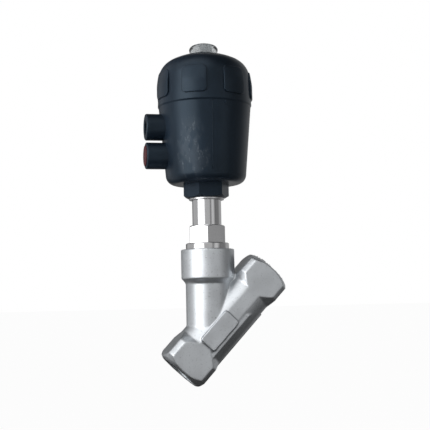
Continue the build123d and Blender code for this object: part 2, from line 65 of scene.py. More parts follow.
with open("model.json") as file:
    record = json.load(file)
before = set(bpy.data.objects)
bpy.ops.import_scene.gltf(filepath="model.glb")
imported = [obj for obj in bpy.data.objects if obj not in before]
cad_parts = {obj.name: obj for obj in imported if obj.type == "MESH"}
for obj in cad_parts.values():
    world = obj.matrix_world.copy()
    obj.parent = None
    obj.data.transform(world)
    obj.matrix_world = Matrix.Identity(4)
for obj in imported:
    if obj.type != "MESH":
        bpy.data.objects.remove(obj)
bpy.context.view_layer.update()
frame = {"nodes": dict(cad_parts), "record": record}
MOUNTS = {mount["name"]: mount for mount in frame["record"]["mounts"]}
SLOT_OF = {part["node"]: part["material_slot"] for part in frame["record"]["subparts"]}
MM = 0.001
WELD = 2e-6  # points closer than this, in metres, become one
SLIVER = 1e-6  # edges shorter than this, in metres, are dissolved
SHARP = radians(32)  # edges that bend by more than this are rounded
BORE_ROOM = 0.05 * MM  # how much wider a bore is cut than its thread's root
SLEEVE_ROOM = 0.06 * MM  # how far the back of a thread's sleeve lies behind its root


def middle(node):
    """Centre of a CAD node's box."""
    low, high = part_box(node)
    return (low + high) / 2


STEM = middle("spindle")
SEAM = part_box("actuator_housing")[1].z
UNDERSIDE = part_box("base_washer")[1].z


# ---------------------------------------------------------------- sizes and colours
def length(name, description, default):
    return bpy.props.FloatProperty(name=name, description=description, default=default, min=0.0,
                                   subtype="DISTANCE", unit="LENGTH", precision=5)


def angle(name, description, default):
    return bpy.props.FloatProperty(name=name, description=description, default=radians(default),
                                   subtype="ANGLE", unit="ROTATION")


def colour(name, description, default):
    return bpy.props.FloatVectorProperty(name=name, description=description, default=default,
                                         subtype="COLOR", size=3, min=0.0, max=1.0)


def amount(name, description, default):
    return bpy.props.FloatProperty(name=name, description=description, default=default, min=0.0)


class ValveCastingSizes(bpy.types.PropertyGroup):
    """Cast body and its pipe threads"""

    grain: length("Surface step", "Spacing of the casting's surface points", 0.6 * MM)
    softness: bpy.props.IntProperty(
        name="Softness", description="Smoothing passes over the cast edges", default=7, min=0)
    pipe_pitch: length("Pipe thread pitch", "Pitch of the G 1 threads", 2.309 * MM)
    pipe_root: length("Pipe thread root", "Root radius of the G 1 threads", 16.62 * MM)
    pipe_depth: length("Pipe thread depth", "Threaded depth of both mouths", 15.2 * MM)


class ValveActuatorSizes(bpy.types.PropertyGroup):
    """Moulded actuator"""

    edge: length("Edge radius", "Rounding of the moulded edges", 0.5 * MM)
    port_pitch: length("Port thread pitch", "Pitch of the G 1/4 threads", 1.337 * MM)
    port_root: length("Port thread root", "Root radius of the G 1/4 threads", 6.55 * MM)
    port_depth: length("Port thread depth", "Threaded depth of the open air port", 11.0 * MM)
    cap_radius: length("Cap radius", "Radius at the top of the cap's wall", 39.1 * MM)
    cap_foot_radius: length("Cap foot radius", "Radius at the foot of the cap's wall", 39.9 * MM)
    cap_wall: length("Cap wall height", "Height of the cap's wall above the seam", 24.0 * MM)
    cap_height: length("Cap height", "Height of the cap's flat above the seam", 45.8 * MM)
    cap_crown: length("Cap crown", "Radius of the cap's crown", 65.0 * MM)
    cap_flat_radius: length("Cap flat radius", "Radius of the flat round the sight dome", 12.8 * MM)
    cap_chamfer: length("Cap chamfer", "Chamfer at the seam", 1.3 * MM)
    pad_relief: length("Wall relief", "How far the wall is cut back between the pads", 0.4 * MM)
    pad_count: bpy.props.IntProperty(
        name="Pads", description="Number of grip pads", default=7, min=1)
    pad_turn: angle("First pad", "Centre of one pad, from the front", -24.0)
    pad_width: length("Pad width", "Width of a grip pad round the cap", 21.9 * MM)
    pad_low: length("Pad foot", "Foot of the pads above the seam", 6.3 * MM)
    pad_shoulder: length("Pad shoulder", "Height where the pads start to lean in", 17.0 * MM)
    pad_high: length("Pad top", "Top of the pads above the seam", 28.8 * MM)
    pad_radius: length("Pad radius", "Radius of the pads' faces", 40.6 * MM)
    pad_top_radius: length("Pad top radius", "Radius of the pads' faces at their tops", 38.9 * MM)
    pad_corner: length("Pad corner", "Corner radius of the pads' outline", 2.4 * MM)
    pad_rim: length("Pad rim", "Rounding of the pads' rims", 0.6 * MM)
    mould_line: length("Mould line height", "How far the mould line stands out", 0.12 * MM)
    mould_line_turn: angle("Mould line turn", "Place of the mould line, from the front", -2.6)
    mould_line_width: length("Mould line width", "Width of the mould line", 0.6 * MM)


class ValveTrimSizes(bpy.types.PropertyGroup):
    """Turned and sheet metal pieces"""

    edge: length("Edge break", "Rounding of the machined edges", 0.3 * MM)
    fine_edge: length("Fine edge break", "Rounding of the small inner pieces", 0.1 * MM)


class ValveColours(bpy.types.PropertyGroup):
    """Colours of the valve's finishes"""

    cast: colour("Cast stainless", "Bead-blasted casting", (0.60, 0.625, 0.65))
    polished: colour("Polished stainless", "Turned and polished bonnet", (0.66, 0.66, 0.67))
    machined: colour("Machined steel", "Fine turned steel", (0.62, 0.62, 0.63))
    spring: colour("Spring steel", "Drawn spring wire", (0.42, 0.42, 0.44))
    plastic: colour("Black plastic", "Moulded actuator", (0.017, 0.029, 0.047))
    # Colour of the rubbed marks and dust, and of the painted sheen laid over the rubbed patch on
    # the cylinder's front.
    scuff_and_sheen_colour: colour("Scuffs", "Rubbed marks on the black plastic", (0.26, 0.30, 0.35))
    lens: colour("Clear plastic", "Dome over the position indicator", (0.50, 0.52, 0.53))
    indicator: colour("Indicator", "Head under the dome", (0.035, 0.035, 0.04))
    plug: colour("Dust plug", "Soft plug in the lower port", (0.09, 0.006, 0.010))
    ptfe: colour("PTFE", "Packing, seat seal and guide rings", (0.80, 0.80, 0.77))
    rubber: colour("Rubber", "Seal rings", (0.018, 0.018, 0.018))


class ValveStudioSizes(bpy.types.PropertyGroup):
    """Camera, floor and lamps"""

    camera_turn: angle("Camera azimuth", "Camera's turn round the valve", -12.5)
    camera_rise: angle("Camera elevation", "Camera's angle above the horizon", -5.33)
    camera_roll: angle("Camera roll", "Camera's roll", -1.23)
    camera_distance: length("Camera distance", "Camera to the stem axis", 783.4 * MM)
    lens: amount("Focal length", "Focal length on a 36 mm sensor", 78.23)
    aim_height: length("Aim height", "Height of the point that the camera looks at", 128.9 * MM)
    aim_shift: length("Aim shift", "Aim point beside the stem axis", 7.0 * MM)
    floor_drop: length("Floor drop", "Floor below the valve's lowest point", 110 * MM)
    key_level: amount("Key level", "Brightness of the large soft lamp", 2.0)
    fill_level: amount("Fill level", "Brightness of the weak lamps", 0.1)
    sky_level: amount("Sky level", "Even light from all round", 0.1)
    tent_level: amount("Tent level", "Brightness of what shows in metal and gloss", 1.0)


class ValveLooks(bpy.types.PropertyGroup):
    """All settings of the valve's looks"""

    casting: bpy.props.PointerProperty(type=ValveCastingSizes)
    actuator: bpy.props.PointerProperty(type=ValveActuatorSizes)
    trim: bpy.props.PointerProperty(type=ValveTrimSizes)
    colours: bpy.props.PointerProperty(type=ValveColours)
    studio: bpy.props.PointerProperty(type=ValveStudioSizes)


# ---------------------------------------------------------------- shader building
class Wire:
    """A shader socket; arithmetic on it adds Math nodes to its tree."""

    def __init__(self, nodes, socket):
        self.nodes, self.socket = nodes, socket

    def math(self, operation, *values):
        return self.nodes.wire("ShaderNodeMath", {"operation": operation}, dict(enumerate(values)))

    def __add__(self, other):
        return self.math("ADD", self, other)

    def __sub__(self, other):
        return self.math("SUBTRACT", self, other)

    def __rsub__(self, other):
        return self.math("SUBTRACT", other, self)

    def __mul__(self, other):
        return self.math("MULTIPLY", self, other)

    __radd__ = __add__
    __rmul__ = __mul__

    def step(self, low, high):
        """0 below low, 1 above high, smooth between them; low may be the greater."""
        return self.nodes.wire("ShaderNodeMapRange", {"interpolation_type": "SMOOTHSTEP"},
                               {"Value": self, "From Min": low, "From Max": high})


class Nodes:
    """A node tree under construction."""

    def __init__(self, tree):
        self.tree = tree
        tree.nodes.clear()

    def node(self, kind, settings=None, values=None):
        """Any node: its settings first, then the values or links of its sockets."""
        node = self.tree.nodes.new(kind)
        for key, setting in (settings or {}).items():
            setattr(node, key, setting)
        for key, value in (values or {}).items():
            value = value.socket if isinstance(value, Wire) else value
            if isinstance(value, bpy.types.NodeSocket):
                self.tree.links.new(value, node.inputs[key])
            else:
                node.inputs[key].default_value = value
        return node

    def wire(self, kind, settings=None, values=None, output=0):
        """One output of a new node."""
        return Wire(self, self.node(kind, settings, values).outputs[output])

    def seen_directly(self):
        """1 for camera, glossy and transmission rays."""
        path = self.node("ShaderNodeLightPath")
        total = Wire(self, path.outputs["Is Camera Ray"])
        for output in ("Is Glossy Ray", "Is Transmission Ray"):
            total = total.math("MAXIMUM", total, path.outputs[output])
        return total


class Finish(Nodes):
    """A material under construction: a Principled shader and the nodes that feed it."""

    def __init__(self, name, **uniform):
        self.material = bpy.data.materials.new(name + "_finish")
        self.material.use_nodes = True
        super().__init__(self.material.node_tree)
        values = {key.replace("_", " "): value for key, value in uniform.items()}
        self.shader = self.node("ShaderNodeBsdfPrincipled", {}, values)
        self.node("ShaderNodeOutputMaterial", {}, {"Surface": self.shader.outputs[0]})

    def place(self, stretch=(1, 1, 1)):
        """Object coordinates, in metres, stretched along the axes."""
        point = self.wire("ShaderNodeTexCoord", output="Object")
        return self.wire("ShaderNodeVectorMath", {"operation": "MULTIPLY"}, {0: point, 1: stretch})

    def noise(self, grain, detail=2.0, stretch=(1, 1, 1), roughness=0.5):
        """Noise from 0 to 1 whose spots are about grain metres across."""
        return self.wire("ShaderNodeTexNoise", {}, {
            "Vector": self.place(stretch), "Scale": 0.5 / grain, "Detail": detail,
            "Roughness": roughness})

    def spots(self, spacing, radius, share):
        """Scattered round spots with soft rims, about spacing apart; share of them are kept."""
        cells = self.node("ShaderNodeTexVoronoi", {}, {
            "Vector": self.place(), "Scale": 1 / spacing})
        distance = Wire(self, cells.outputs["Distance"])
        chance = self.wire("ShaderNodeSeparateColor", {}, {0: cells.outputs["Color"]})
        kept = chance.step(share, share - 0.02)
        return distance.step(radius / spacing, 0.4 * radius / spacing) * kept

    def blend(self, factor, low, high):
        """Colour mix: low where factor is 0, high where it is 1."""
        mix = self.node("ShaderNodeMix", {"data_type": "RGBA"}, {0: factor})
        for socket, value in ((6, low), (7, high)):
            if isinstance(value, Wire):
                self.tree.links.new(value.socket, mix.inputs[socket])
            else:
                mix.inputs[socket].default_value = (*value, 1.0)
        return Wire(self, mix.outputs[2])

    def feed(self, socket, value):
        """Links a value to a socket of the Principled shader."""
        self.tree.links.new(value.socket, self.shader.inputs[socket])

    def relief(self, height, depth):
        """Bump of the given depth in metres, from a height between 0 and 1."""
        self.feed("Normal", self.wire("ShaderNodeBump", {}, {"Height": height, "Distance": depth}))


def shaded(base, factor):
    """A colour made darker or lighter."""
    return tuple(min(1.0, channel * factor) for channel in base)


def cast_stainless(colours):
    """Bead-blasted casting: even grain, soft waves, a few dark pits."""
    finish = Finish("cast_stainless", Metallic=1.0)
    clouds = finish.noise(8 * MM, 3.0)
    grain = finish.noise(0.45 * MM, 3.0)
    pits = finish.spots(6.5 * MM, 0.6 * MM, 0.35)
    specks = finish.noise(0.75 * MM, 2.0).step(0.60, 0.70)
    tone = finish.blend(
        clouds.step(0.3, 0.7), shaded(colours.cast, 0.92), shaded(colours.cast, 1.06))
    tone = finish.blend(specks * 0.4, tone, shaded(colours.cast, 0.5))
    finish.feed("Base Color", finish.blend(pits * 0.85, tone, shaded(colours.cast, 0.1)))
    finish.feed("Roughness", 0.34 + clouds * 0.08 + grain * 0.08)
    finish.relief(grain * 0.6 + clouds * 1.2 - pits * 0.9 - specks * 0.3, 0.1 * MM)


def polished_stainless(colours):
    """Turned and polished steel: fine rings, a few longer hairlines."""
    finish = Finish("polished_stainless", Metallic=1.0)
    rings = finish.noise(0.5 * MM, 3.0, stretch=(0.02, 0.02, 3.0))
    smears = finish.noise(5 * MM, 2.0, stretch=(1, 1, 0.35))
    finish.feed("Base Color", finish.blend(rings, shaded(colours.polished, 0.92), colours.polished))
    finish.feed("Roughness", 0.07 + rings * 0.09 + smears.step(0.45, 0.8) * 0.08)
    finish.relief(rings, 0.006 * MM)


def machined_steel(colours):
    """Fine turned steel with close rings."""
    finish = Finish("machined_steel", Metallic=1.0)
    rings = finish.noise(0.3 * MM, 2.0, stretch=(0.05, 0.05, 2.0))
    finish.feed("Base Color", finish.blend(rings, shaded(colours.machined, 0.85), colours.machined))
    finish.feed("Roughness", 0.2 + rings * 0.16)
    finish.relief(rings, 0.012 * MM)


def spring_steel(colours):
    """Drawn wire, slightly mottled."""
    finish = Finish("spring_steel", Metallic=1.0)
    drawn = finish.noise(0.6 * MM, 3.0)
    finish.feed("Base Color", finish.blend(drawn, shaded(colours.spring, 0.75), colours.spring))
    finish.feed("Roughness", 0.28 + drawn * 0.2)
    finish.relief(drawn, 0.015 * MM)


def black_plastic(colours):
    """Moulded polyamide: satin skin, faint flow marks, and rubbed marks with a painted sheen over
    them on the cylinder's front.
    """
    finish = Finish("black_plastic", IOR=1.45, Specular_IOR_Level=0.32, Coat_Roughness=0.22,
                    Specular_Tint=(0.64, 0.84, 1.0, 1.0))
    skin = finish.noise(0.35 * MM, 2.0)
    flow = finish.noise(14 * MM, 3.0, stretch=(1, 1, 0.5))
    tall = 0.55  # width of the patch of rubbed marks and painted sheen over its height
    # Centre of the rubbed patch on the lit left front, where a painted sheen is laid along with the
    # scuffs.
    scuff_and_sheen_centre = (STEM.x - 20 * MM, -34 * MM, (SEAM - 41 * MM) * tall)
    offset = finish.wire("ShaderNodeVectorMath", {"operation": "SUBTRACT"}, {
        0: finish.place((1, 1, tall)), 1: scuff_and_sheen_centre})
    reach = finish.wire(
        "ShaderNodeVectorMath", {"operation": "LENGTH"}, {0: offset}, output="Value")
    near_scuff_and_sheen = reach.step(18 * MM, 9 * MM)
    streaks = finish.noise(1.6 * MM, 5.0, stretch=(1, 1, 0.42), roughness=0.7).step(0.53, 0.66)
    patches = finish.noise(4.5 * MM, 2.0, stretch=(1, 1, 0.6)).step(0.44, 0.56)
    # Scuff streaks, plus an even painted sheen (the 0.13 term) that lightens the whole upright
    # patch.
    scuffs_and_sheen = (streaks * 0.65 + 0.13) * patches * near_scuff_and_sheen
    dust = finish.noise(0.8 * MM, 3.0).step(0.66, 0.8)
    tone = finish.blend(
        flow.step(0.35, 0.7), shaded(colours.plastic, 0.8), shaded(colours.plastic, 1.2))
    tone = finish.blend(dust * 0.02, tone, colours.scuff_and_sheen_colour)
    # The base colour carries the rubbed marks and the painted sheen over the plastic's tone.
    finish.feed("Base Color", finish.blend(scuffs_and_sheen, tone, colours.scuff_and_sheen_colour))
    finish.feed("Roughness", 0.27 + flow * 0.06 + skin * 0.05 - scuffs_and_sheen * 0.04)
    finish.feed("Coat Weight", flow * 0.1)
    finish.relief(skin * 0.3 + flow, 0.012 * MM)


def clear_plastic(colours):
    """Clear moulded plastic, faintly uneven."""
    finish = Finish("clear_plastic", Transmission_Weight=0.94, IOR=1.49)
    moulded = finish.noise(4 * MM, 2.0)
    finish.feed("Base Color", finish.blend(moulded, shaded(colours.lens, 0.96), colours.lens))
    finish.feed("Roughness", 0.03 + moulded * 0.05)
    finish.relief(moulded, 0.05 * MM)


def moulded_plastic(name, base, roughness, grain):
    """Plain moulded plastic with a slight skin."""
    finish = Finish(name, IOR=1.5)
    skin = finish.noise(grain, 3.0)
    finish.feed("Base Color", finish.blend(skin, shaded(base, 0.88), base))
    finish.feed("Roughness", roughness + skin * 0.1)
    finish.relief(skin, 0.02 * MM)


def make_finishes(colours):
    """One material for each material slot of the record."""
    cast_stainless(colours)
    polished_stainless(colours)
    machined_steel(colours)
    spring_steel(colours)
    black_plastic(colours)
    clear_plastic(colours)
    moulded_plastic("indicator_plastic", colours.indicator, 0.3, 1.5 * MM)
    moulded_plastic("red_plastic", colours.plug, 0.45, 0.8 * MM)
    moulded_plastic("ptfe", colours.ptfe, 0.4, 1.2 * MM)
    moulded_plastic("rubber", colours.rubber, 0.5, 0.5 * MM)


def finish_of(slot):
    """The finish of a material slot; all are made on first use."""
    name = slot + "_finish"
    if name not in bpy.data.materials:
        make_finishes(bpy.context.scene.valve_looks.colours)
    return bpy.data.materials[name]


# ---------------------------------------------------------------- mesh building
def new_piece(name, mesh, slot, body):
    """A new object with its finish, riding on a body."""
    piece = bpy.data.objects.new(name, mesh)
    bpy.context.scene.collection.objects.link(piece)
    mesh.materials.clear()
    mesh.materials.append(finish_of(slot))
    for polygon in mesh.polygons:
        polygon.use_smooth = True
    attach(piece, body)
    return piece


def mesh_from(form, name):
    """Mesh of a finished form, which is freed."""
    mesh = bpy.data.meshes.new(name)
    form.to_mesh(mesh)
    form.free()
    return mesh


def welded_copy(node):
    """Mesh of a CAD node with its loose facets joined."""
    form = bmesh.new()
    form.from_mesh(frame["nodes"][node].data)
    bmesh.ops.remove_doubles(form, verts=form.verts, dist=WELD)
    bmesh.ops.dissolve_degenerate(form, edges=form.edges, dist=SLIVER)
    return mesh_from(form, node + "_form")


def rounded_copy(node):
    """Mesh of a CAD node whose few-sided section is rounded."""
    work = bpy.data.objects.new("work", welded_copy(node))
    bpy.context.scene.collection.objects.link(work)
    smooth = work.modifiers.new("round", "SUBSURF")
    smooth.levels = smooth.render_levels = 1
    mesh = evaluated(work)
    bpy.data.objects.remove(work)
    return mesh


def along(mount):
    """Matrix whose Z leaves the mount's mouth, outwards."""
    turn = Vector(MOUNTS[mount]["axis"]).to_track_quat("Z", "Y").to_matrix().to_4x4()
    return Matrix.Translation(Vector(MOUNTS[mount]["pos_m"])) @ turn


def round_ring(form, radius, height, sides):
    """Ring of points about Z."""
    turns = [2 * pi * i / sides for i in range(sides)]
    return [form.verts.new((radius * cos(turn), radius * sin(turn), height)) for turn in turns]


def join_rings(form, rings, closed=False):
    """Faces from each ring of points to the next, and from last to first or over both ends."""
    for low, high in zip(rings, rings[1:] + rings[:1] if closed else rings[1:]):
        for i in range(len(low)):
            j = (i + 1) % len(low)
            form.faces.new((low[i], low[j], high[j], high[i]))
    if not closed:
        form.faces.new(rings[0])
        form.faces.new(rings[-1])
    bmesh.ops.recalc_face_normals(form, faces=form.faces)


def turned_form(outline, place, sides, closed=True):
    """Form turned about Z from (radius, height) points, then put in place."""
    form = bmesh.new()
    rings = [round_ring(form, radius, height, sides) for radius, height in outline]
    join_rings(form, rings, closed)
    form.transform(place)
    return form


def rounded_outline(half_width, half_height, corner, steps=6, spans=10):
    """Points round a rectangle with round corners, steps in each corner and spans on each side."""
    corners = []
    for side_x, side_y, quarter in ((1, 1, 0), (-1, 1, 1), (-1, -1, 2), (1, -1, 3)):
        turns = [pi / 2 * (quarter + k / steps) for k in range(steps + 1)]
        corners.append([(side_x * (half_width - corner) + corner * cos(turn),
                         side_y * (half_height - corner) + corner * sin(turn)) for turn in turns])
    points = []
    for arc, following in zip(corners, corners[1:] + corners[:1]):
        points += arc
        (x0, y0), (x1, y1) = arc[-1], following[0]
        points += [(x0 + (x1 - x0) * k / spans, y0 + (y1 - y0) * k / spans)
                   for k in range(1, spans)]
    return points


def plug_form(radius, depth, lead, place, sides=128):
    """Solid rod from depth inside a mouth to just outside it, with a lead-in cone at the mouth."""
    outline = [(radius, -depth), (radius, -lead), (radius + lead, 0.0), (radius + lead, 1 * MM)]
    return turned_form(outline, place, sides, closed=False)


def evaluated(piece):
    """The piece's mesh with its modifiers applied."""
    graph = bpy.context.evaluated_depsgraph_get()
    return bpy.data.meshes.new_from_object(piece.evaluated_get(graph))


def carved(mesh, cutters, remesh=None, passes=0):
    """The mesh less its cutters, and then, if asked, resurfaced evenly and smoothed."""
    work = bpy.data.objects.new("work", mesh)
    bpy.context.scene.collection.objects.link(work)
    tools = []
    for cutter in cutters:
        tool = bpy.data.objects.new("tool", mesh_from(cutter, "tool"))
        bpy.context.scene.collection.objects.link(tool)
        tools.append(tool)
        cut = work.modifiers.new("cut", "BOOLEAN")
        cut.operation, cut.solver, cut.object = "DIFFERENCE", "EXACT", tool
    if remesh:
        surface = work.modifiers.new("surface", "REMESH")
        surface.mode, surface.voxel_size = "VOXEL", remesh
        soft = work.modifiers.new("soft", "SMOOTH")
        soft.factor, soft.iterations = 0.5, passes
    result = evaluated(work)
    for spare in [work, *tools]:
        bpy.data.objects.remove(spare)
    return result


def round_edges(piece, width, segments=3, weld=True):
    """Rounds the piece's sharp edges and evens its shading."""
    if weld:
        join = piece.modifiers.new("join", "WELD")
        join.merge_threshold = WELD
    bevel = piece.modifiers.new("edge", "BEVEL")
    bevel.width, bevel.segments = width, segments
    bevel.limit_method, bevel.angle_limit = "ANGLE", SHARP
    bevel.use_clamp_overlap = True
    bevel.miter_outer = "MITER_ARC"
    bevel.harden_normals = True
    even = piece.modifiers.new("even", "WEIGHTED_NORMAL")
    even.keep_sharp = True


def thread_form(crest, root, pitch, depth, place, sides=120, rows=8):
    """Thin sleeve in a bore whose inside is a right-hand vee thread, open at both ends."""
    start = 0.15 * MM  # the sleeve's end, inside the mouth
    lead = 0.5 * pitch  # the thread fades out over this length at the mouth
    steep, crest_flat = 1.25, 0.12  # slope of the vee's flanks and width of its crest
    count = int(depth / pitch * rows)
    heights = [-start - (depth - start) * j / count for j in range(count + 1)]
    form = bmesh.new()
    inner = []
    for height in heights:
        entry = max(0.0, 1 + height / lead)
        points = []
        for i in range(sides):
            turn = i / sides
            phase = (-height / pitch + turn) % 1.0
            vee = min(1.0, max(0.0, steep * (1 - abs(2 * phase - 1)) - crest_flat))
            radius = crest + (root - crest) * vee
            radius += (root - radius) * min(1.0, entry)
            point = (radius * cos(2 * pi * turn), radius * sin(2 * pi * turn), height)
            points.append(form.verts.new(point))
        inner.append(points)
    back = root + SLEEVE_ROOM
    outer = [round_ring(form, back, height, sides) for height in (heights[0], heights[-1])]
    join_rings(form, [outer[0], *inner, outer[1]], closed=True)
    form.transform(place)
    return form


def keep_node(node, width=None, segments=2):
    """A CAD node shown as it is, with its own finish and softened edges."""
    piece = frame["nodes"][node]
    mesh = piece.data
    if "custom_normal" in mesh.attributes:
        mesh.attributes.remove(mesh.attributes["custom_normal"])
    for polygon in mesh.polygons:
        polygon.use_smooth = True
    slot = SLOT_OF[node]
    for holder in piece.material_slots:
        holder.material = finish_of(slot)
    if width:
        round_edges(piece, width, segments)
    return piece


# ---------------------------------------------------------------- pieces
class VALVE_OT_casting(bpy.types.Operator):
    """Cast Y body with soft edges, bored for its pipe threads"""

    bl_idname = "valve.casting"
    bl_label = "Cast body"

    def execute(self, context):
        sizes = context.scene.valve_looks.casting
        cutters = [plug_form(sizes.pipe_root + BORE_ROOM, sizes.pipe_depth, lead=0.35 * MM,
                             place=along(mount)) for mount in ("inlet_thread", "outlet_thread")]
        fewest_faces = 1000
        step = sizes.grain * 1.0
        mesh = carved(welded_copy("valve_body"), cutters, remesh=step, passes=sizes.softness)
        if len(mesh.polygons) < fewest_faces:
            raise RuntimeError("the casting came out empty")
        casting = new_piece("casting", mesh, "cast_stainless", "body")
        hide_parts("valve_body")
        return {"FINISHED"}


class VALVE_OT_pipe_threads(bpy.types.Operator):
    """Internal pipe threads in both mouths of the body"""

    bl_idname = "valve.pipe_threads"
    bl_label = "Pipe threads"

    def execute(self, context):
        sizes = context.scene.valve_looks.casting
        for mount in ("inlet_thread", "outlet_thread"):
            crest = MOUNTS[mount]["dims"]["r_mm"] * MM
            form = thread_form(crest, sizes.pipe_root, sizes.pipe_pitch, sizes.pipe_depth,
                               along(mount))
            new_piece(mount + "_turns", mesh_from(form, mount), "cast_stainless", "body")
        return {"FINISHED"}


class VALVE_OT_bonnet(bpy.types.Operator):
    """Polished bonnet and the steel washer under the actuator"""

    bl_idname = "valve.bonnet"
    bl_label = "Bonnet"

    def execute(self, context):
        sizes = context.scene.valve_looks.trim
        keep_node("bonnet", sizes.edge, 3)
        keep_node("base_washer", sizes.edge, 3)
        return {"FINISHED"}


class VALVE_OT_housing(bpy.types.Operator):
    """Moulded cylinder with its foot hexagon, air ports, port thread and mould line"""

    bl_idname = "valve.housing"
    bl_label = "Actuator housing"

    def execute(self, context):
        sizes = context.scene.valve_looks.actuator
        place = along("air_port_upper")
        cutter = plug_form(sizes.port_root + BORE_ROOM, sizes.port_depth, lead=0.3 * MM,
                           place=place, sides=72)
        mesh = carved(welded_copy("actuator_housing"), [cutter])
        housing = new_piece("housing", mesh, "black_plastic", "actuator")
        round_edges(housing, sizes.edge, weld=False)
        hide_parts("actuator_housing")
        crest = MOUNTS["air_port_upper"]["dims"]["r_mm"] * MM
        form = thread_form(crest, sizes.port_root, sizes.port_pitch, sizes.port_depth, place,
                           sides=72)
        new_piece("port_thread_turns", mesh_from(form, "port_thread"), "black_plastic", "actuator")
        self.add_mould_line(sizes)
        return {"FINISHED"}

    def add_mould_line(self, sizes):
        """Thin raised line up the front of the cylinder, which follows the housing's own taper."""
        foot_height, foot_curve = 12 * MM, 8.5 * MM  # hexagon foot and the curve above it
        taper = 5.7 * MM  # how much smaller the cylinder's radius would be at the underside
        gap, root, rows = 0.4 * MM, 0.1 * MM, 24  # gap under the seam, depth in the wall
        low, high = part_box("actuator_housing")
        top_radius = (high.y - low.y) / 2
        lean = taper / (SEAM - UNDERSIDE)
        foot = UNDERSIDE + foot_height + foot_curve
        half = sizes.mould_line_width / 2
        section = ((-half, -root), (-half * 0.4, sizes.mould_line),
                   (half * 0.4, sizes.mould_line), (half, -root))
        form = bmesh.new()
        lines = []
        for k in range(rows + 1):
            height = foot + (SEAM - gap - foot) * k / rows
            radius = top_radius - lean * (SEAM - height)
            lines.append([form.verts.new((side, -radius - rise, height)) for side, rise in section])
        join_rings(form, lines)
        form.transform(Matrix.Translation((STEM.x, STEM.y, 0))
                       @ Matrix.Rotation(sizes.mould_line_turn, 4, "Z"))
        new_piece("mould_line", mesh_from(form, "mould_line"), "black_plastic", "actuator")


class VALVE_OT_cap(bpy.types.Operator):
    """Domed cap, resurfaced smoothly, with its round-cornered grip pads"""

    bl_idname = "valve.cap"
    bl_label = "Actuator cap"

    def execute(self, context):
        sizes = context.scene.valve_looks.actuator
        place = Matrix.Translation((STEM.x, STEM.y, SEAM))
        lathe = turned_form(self.outside(sizes), place, sides=192)
        mesh = carved(welded_copy("actuator_cap"), [lathe])
        cap = new_piece("cap", mesh, "black_plastic", "actuator")
        round_edges(cap, sizes.edge, weld=False)
        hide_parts("actuator_cap")
        form = bmesh.new()
        for i in range(sizes.pad_count):
            self.add_pad(form, sizes, sizes.pad_turn + 2 * pi * i / sizes.pad_count)
        new_piece("grip_pads", mesh_from(form, "grip_pads"), "black_plastic", "actuator")
        return {"FINISHED"}

    def outside(self, sizes):
        """Ring outline that trims the cap's wall, shoulder and crown."""
        relief, under, steps = sizes.pad_relief, 0.05 * MM, 12  # the cut starts under the seam
        side, crown, end = sizes.cap_radius, sizes.cap_crown, sizes.cap_flat_radius
        centre = sizes.cap_height - (crown ** 2 - end ** 2) ** 0.5
        drop = sizes.cap_wall - centre
        shoulder = (crown ** 2 - side ** 2 - drop ** 2) / (2 * (crown - side))
        lean = atan2(drop, side - shoulder)
        rim = sizes.cap_chamfer
        points = [(sizes.cap_foot_radius - rim - under, -under),
                  (sizes.cap_foot_radius - relief, rim), (side - relief, sizes.cap_wall)]
        for k in range(1, steps + 1):
            turn = lean * k / steps
            points.append((side - shoulder + (shoulder - relief) * cos(turn),
                           sizes.cap_wall + (shoulder - relief) * sin(turn)))
        last = acos(end / crown)
        for k in range(1, steps + 1):
            turn = lean + (last - lean) * k / steps
            points.append(((crown - relief) * cos(turn), centre + (crown - relief) * sin(turn)))
        far, above = sizes.cap_foot_radius + 5 * MM, sizes.cap_height + 8 * MM
        return points + [(points[-1][0], above), (far, above), (far, -under)]

    def add_pad(self, form, sizes, turn):
        """One raised pad with round corners and a round rim, centred at turn from the front."""
        flare, root = 0.2 * MM, 3.0 * MM  # the pad's sides widen a little as they go into the wall
        least_corner, bend = 0.35, 1.25  # roundness of the inner rings, curve of the leaning top
        rim_steps, face_steps = 5, 6  # rings round the rim and over the face
        half_width, half_height = sizes.pad_width / 2, (sizes.pad_high - sizes.pad_low) / 2
        middle_height = (sizes.pad_high + sizes.pad_low) / 2
        rim = sizes.pad_rim
        turns = [pi / 2 * k / rim_steps for k in range(1, rim_steps + 1)]
        steps = [(-flare, -root), (0.0, -rim)]
        steps += [(rim * (1 - cos(roll)), -rim * (1 - sin(roll))) for roll in turns]
        steps += [(rim + (half_width - rim) * k / face_steps, 0.0) for k in range(1, face_steps)]
        rings = []
        for inset, height in steps:
            shrink = half_height / half_width if height == 0 else 1
            wide, tall = half_width - inset, half_height - inset * shrink
            corner = max(sizes.pad_corner - inset, least_corner * min(wide, tall))
            points = []
            for across, up in rounded_outline(wide, tall, corner):
                z = middle_height + up
                slope = max(0.0, (z - sizes.pad_shoulder) / (sizes.pad_high - sizes.pad_shoulder))
                lean = (sizes.pad_top_radius - sizes.pad_radius) * slope ** bend
                radius = sizes.pad_radius + lean + height
                bearing = turn + across / sizes.pad_radius
                points.append(form.verts.new((STEM.x + radius * sin(bearing),
                                              STEM.y - radius * cos(bearing), SEAM + z)))
            rings.append(points)
        join_rings(form, rings)


class VALVE_OT_sight(bpy.types.Operator):
    """Clear dome and the indicator under it"""

    bl_idname = "valve.sight"
    bl_label = "Sight dome"

    def execute(self, context):
        sizes = context.scene.valve_looks.trim
        keep_node("sight_dome", sizes.edge, 3)
        keep_node("indicator", sizes.edge, 3)
        return {"FINISHED"}


class VALVE_OT_dust_plug(bpy.types.Operator):
    """Soft plug in the lower air port"""

    bl_idname = "valve.dust_plug"
    bl_label = "Dust plug"

    def execute(self, context):
        keep_node("port_plug", context.scene.valve_looks.trim.fine_edge, 2)
        return {"FINISHED"}


